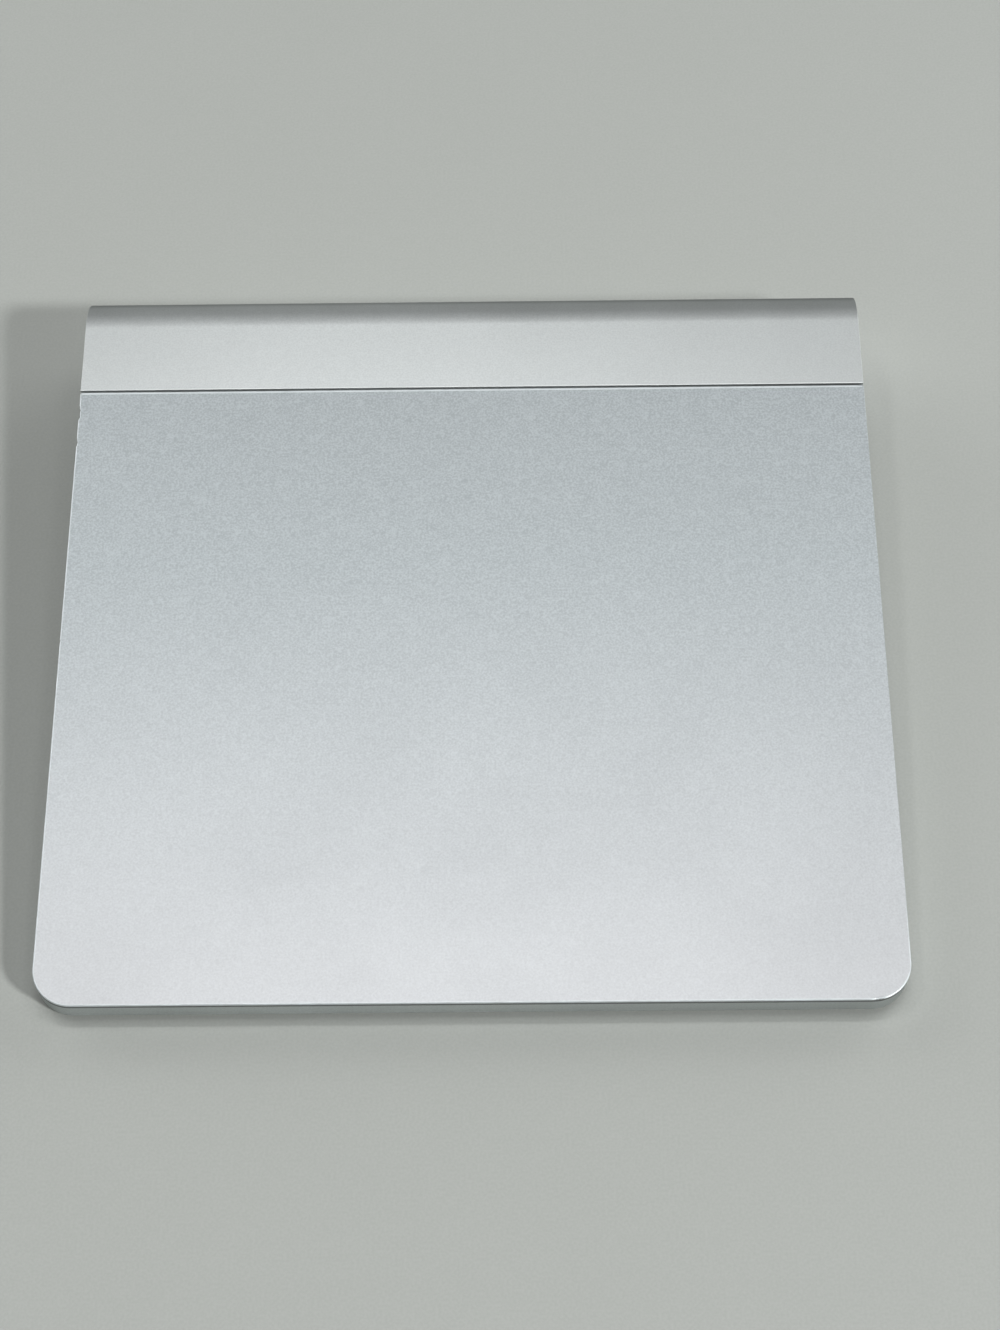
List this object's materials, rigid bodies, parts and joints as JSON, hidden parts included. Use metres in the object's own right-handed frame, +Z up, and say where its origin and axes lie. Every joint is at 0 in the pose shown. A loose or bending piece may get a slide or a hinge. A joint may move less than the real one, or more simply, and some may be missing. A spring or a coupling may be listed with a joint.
{
  "type": "trackpad",
  "caption": "Flat sloping desktop trackpad with a glass touch surface, a rear battery tube with a coin-slot cap and power button, and clicking front feet.",
  "frame": {"origin": "on the desk, under the middle of the part's box", "axes": "+X to the user's right, +Y away from the user towards the battery tube, +Z up"},
  "size_m": [0.1312, 0.13, 0.018],
  "materials": {
    "body_aluminium": "bead-blasted and anodised, satin",
    "turned_aluminium": "turned and anodised, fine rings",
    "coated_glass": "etched satin front, silver coat behind",
    "bonding_film": "matte",
    "circuit_board": "solder mask, satin",
    "chip_black": "moulded, matte",
    "ribbon_amber": "smooth film",
    "shield_steel": "tinned, satin",
    "connector_cream": "moulded, matte",
    "screw_steel": "plated, satin",
    "cover_plastic": "fine moulded grain, matte",
    "tape_grey": "matte",
    "foot_rubber": "moulded, matte",
    "plunger_plastic": "moulded, satin",
    "bar_steel": "drawn wire and sheet, satin",
    "dome_steel": "stamped, bright",
    "light_lens": "clear resin",
    "contact_brass": "gold plated",
    "cell_jacket": "plain printed jacket, satin",
    "spring_steel": "nickel plated wire"
  },
  "bodies": {
    "body": {"enclosure": "body_aluminium", "touch_glass": "coated_glass", "glass_film": "bonding_film", "sensor_board": "circuit_board", "touch_chips": "chip_black", "sensor_ribbon": "ribbon_amber", "logic_board": "circuit_board", "logic_chips": "chip_black", "radio_shield": "shield_steel", "board_connectors": "connector_cream", "board_screws": "screw_steel", "bottom_cover": "cover_plastic", "cover_tape": "tape_grey", "rear_foot_left": "foot_rubber", "rear_foot_right": "foot_rubber", "bar_bearing_left": "plunger_plastic", "bar_bearing_right": "plunger_plastic", "bearing_screws": "screw_steel", "click_switch_board": "ribbon_amber", "click_dome": "dome_steel", "power_bezel": "turned_aluminium", "power_switch": "chip_black", "power_switch_board": "circuit_board", "power_ribbon": "ribbon_amber", "status_light": "light_lens", "contact_carrier": "plunger_plastic", "positive_contact": "contact_brass", "batteries": "cell_jacket"},
    "click_lever": {"click_bar": "bar_steel", "foot_plunger_left": "plunger_plastic", "foot_plunger_right": "plunger_plastic", "front_foot_left": "foot_rubber", "front_foot_right": "foot_rubber"},
    "power_button": {"power_button": "turned_aluminium", "power_switch_plunger": "plunger_plastic"},
    "cap_spring": {"negative_spring": "spring_steel", "spring_plate": "contact_brass"},
    "battery_cap": {"battery_cap": "turned_aluminium"}
  },
  "joints": [
    {"name": "click_turn", "type": "hinge", "parent": "body", "child": "click_lever", "pos_m": [0, -0.04432, 0.00471], "axis": [-1, 0, 0], "range_deg": [0, 2], "stiffness_Nm_per_rad": 0.8, "springref_deg": -0.61, "deforming": ["click_dome"]},
    {"name": "power_button_press", "type": "slide", "parent": "body", "child": "power_button", "axis": [-1, 0, 0], "range_m": [0, 0.0006], "stiffness_N_per_m": 2500},
    {"name": "cap_travel", "type": "slide", "parent": "body", "child": "cap_spring", "axis": [-1, 0, 0], "range_m": [0, 0.0038]},
    {"name": "cap_turn", "type": "hinge", "parent": "cap_spring", "child": "battery_cap", "pos_m": [-0.06, 0.05625, 0.00925], "axis": [-1, 0, 0], "range_deg": [0, 450]}
  ],
  "couplings": [
    {"joint": "cap_travel", "follows": "cap_turn", "m_per_rad": 0.00047746}
  ]
}
